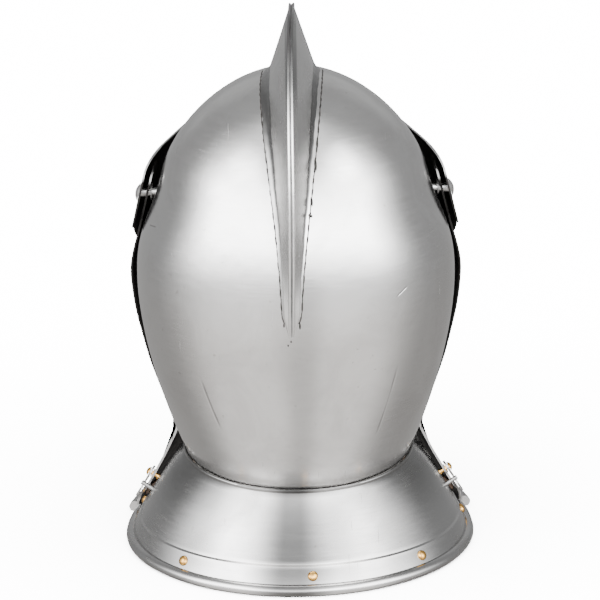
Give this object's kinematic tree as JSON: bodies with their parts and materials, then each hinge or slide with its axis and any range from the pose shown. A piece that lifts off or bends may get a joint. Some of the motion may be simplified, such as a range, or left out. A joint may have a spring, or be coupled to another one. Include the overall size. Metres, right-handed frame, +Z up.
{
  "type": "close helmet",
  "caption": "Close helmet of polished steel with a tall comb, pivoted visor and bevor, flared riveted collar plates and swivel latches.",
  "frame": {"origin": "middle of the collar's rim, on the surface it stands on", "axes": "+Z up to the comb, -Y where the face looks, +X to the wearer's left"},
  "size_m": [0.2402, 0.2895, 0.3635],
  "materials": {
    "polished_steel": "polished with fine brush lines",
    "dark_steel": "dull",
    "brass": "polished",
    "leather": "matt",
    "liner_cloth": "quilted"
  },
  "bodies": {
    "skull": {"skull_shell": "polished_steel", "comb": "polished_steel", "rear_collar_plate": "polished_steel", "rear_collar_lining": "leather", "rear_collar_rivets": "brass", "latch_studs": "dark_steel", "pivot_spacers": "dark_steel", "liner_pad": "liner_cloth", "liner_band": "leather"},
    "bevor": {"bevor_shell": "polished_steel", "front_collar_plate": "polished_steel", "front_collar_lining": "leather", "front_collar_rivets": "brass", "bevor_collar_rivets": "dark_steel", "latch_rivet_left": "brass", "latch_rivet_right": "brass"},
    "visor": {"visor_shell": "polished_steel", "lifting_peg": "polished_steel", "pivot_bolt_left": "polished_steel", "pivot_bolt_right": "polished_steel", "pivot_nut_left": "dark_steel", "pivot_nut_right": "dark_steel"},
    "left_latch": {"latch_left": "polished_steel"},
    "right_latch": {"latch_right": "polished_steel"}
  },
  "joints": [
    {"name": "bevor_hinge", "type": "hinge", "parent": "skull", "child": "bevor", "pos_m": [0, 0.014, 0.2354], "axis": [-1, 0, 0], "range_deg": [0, 24]},
    {"name": "visor_hinge", "type": "hinge", "parent": "skull", "child": "visor", "pos_m": [0, 0.014, 0.2354], "axis": [-1, 0, 0], "range_deg": [0, 38]},
    {"name": "left_latch_turn", "type": "hinge", "parent": "bevor", "child": "left_latch", "pos_m": [0.1022, 0.003, 0.03], "axis": [0.8417, -0.1543, 0.5174], "range_deg": [0, 78]},
    {"name": "right_latch_turn", "type": "hinge", "parent": "bevor", "child": "right_latch", "pos_m": [-0.1022, 0.003, 0.03], "axis": [0.8417, 0.1543, -0.5174], "range_deg": [0, 78]}
  ]
}
